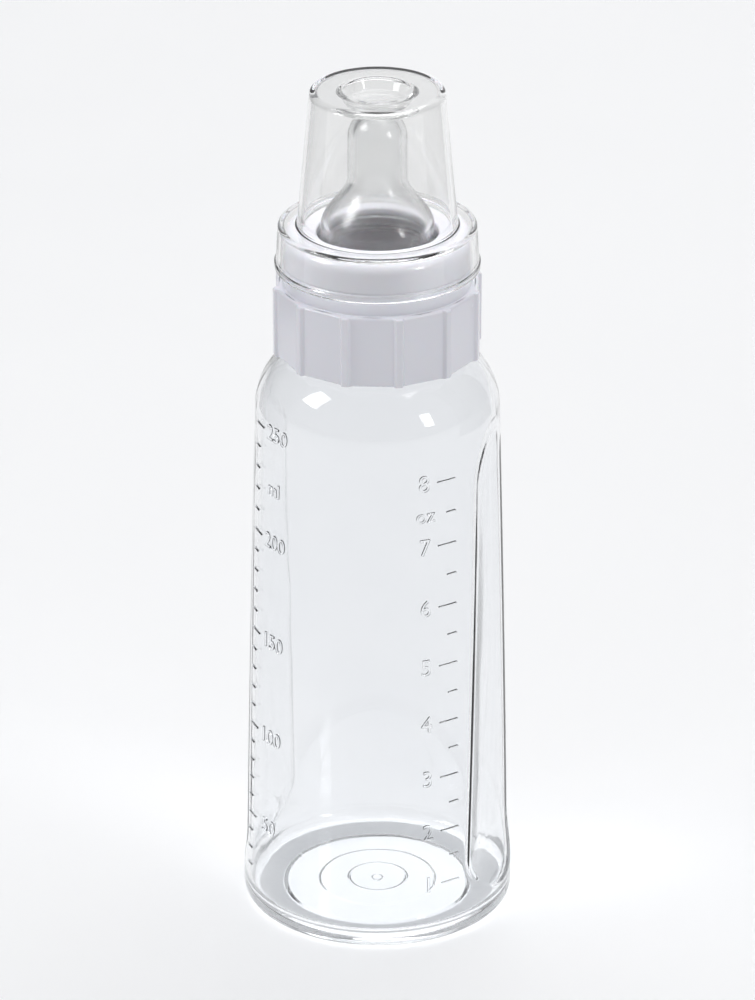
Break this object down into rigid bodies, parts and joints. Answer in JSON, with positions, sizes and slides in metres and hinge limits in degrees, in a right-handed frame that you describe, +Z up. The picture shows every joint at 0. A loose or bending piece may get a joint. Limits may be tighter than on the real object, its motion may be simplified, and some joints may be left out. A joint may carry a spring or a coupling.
{
  "type": "baby bottle",
  "caption": "Clear narrow-neck baby bottle with grip flats, ribbed white screw collar, soft clear nipple and push-on clear cap.",
  "frame": {"origin": "middle of the base, on the surface that the bottle stands on", "axes": "+Z up along the bottle's axis; the two grip flats face +X and -X, and the volume scale faces -Y"},
  "size_m": [0.06, 0.06, 0.1912],
  "materials": {
    "clear_body_plastic": "clear, glossy",
    "clear_silicone": "clear silicone, satin gloss",
    "white_plastic": "cool white, glossy",
    "clear_cap_plastic": "clear, glossy"
  },
  "bodies": {
    "bottle": {"bottle_body": "clear_body_plastic"},
    "nipple": {"nipple": "clear_silicone"},
    "collar": {"collar_ring": "white_plastic"},
    "cap": {"cap": "clear_cap_plastic"}
  },
  "joints": [
    {"name": "nipple_lift", "type": "slide", "parent": "bottle", "child": "nipple", "axis": [0, 0, 1], "range_m": [0, 0.0075]},
    {"name": "collar_turn", "type": "hinge", "parent": "nipple", "child": "collar", "pos_m": [0, 0, 0.1319], "axis": [0, 0, 1], "range_deg": [0, 630]},
    {"name": "cap_pull", "type": "slide", "parent": "collar", "child": "cap", "axis": [0, 0, 1], "range_m": [0, 0.045]}
  ],
  "couplings": [
    {"joint": "nipple_lift", "follows": "collar_turn", "m_per_rad": 0.00063662}
  ]
}
